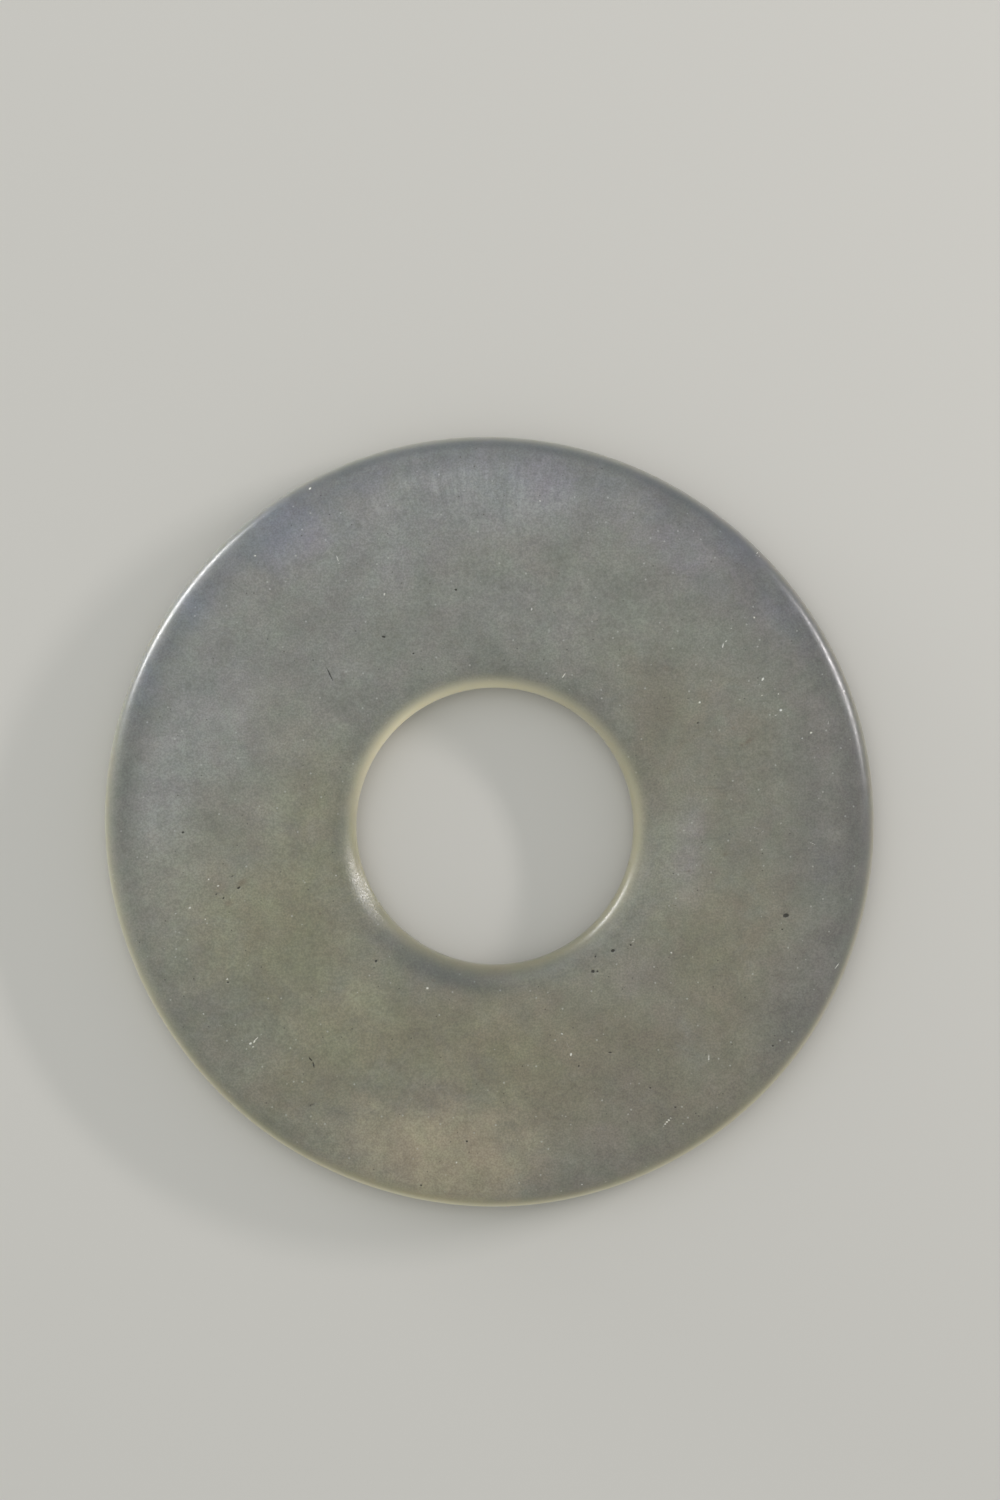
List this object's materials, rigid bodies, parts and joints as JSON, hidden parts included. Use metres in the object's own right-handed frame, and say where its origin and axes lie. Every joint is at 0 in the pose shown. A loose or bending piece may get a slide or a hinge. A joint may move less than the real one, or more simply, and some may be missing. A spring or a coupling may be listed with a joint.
{
  "type": "jade bi disc",
  "caption": "Flat round jade disc with a plain central hole, rounded edges and a faintly swollen front face.",
  "frame": {"origin": "on the flat back face, under the middle of the outline", "axes": "The disc lies on its back. +Z is its axis and points out of the front face, +Y points to the disc's top as it hangs, and +X to its right."},
  "size_m": [0.12, 0.1202, 0.0066],
  "materials": {
    "jade": "satin-polished pale grey-green nephrite, clouded, with fine pits and scratches"
  },
  "bodies": {
    "root": {"jade_disc": "jade"}
  },
  "joints": []
}
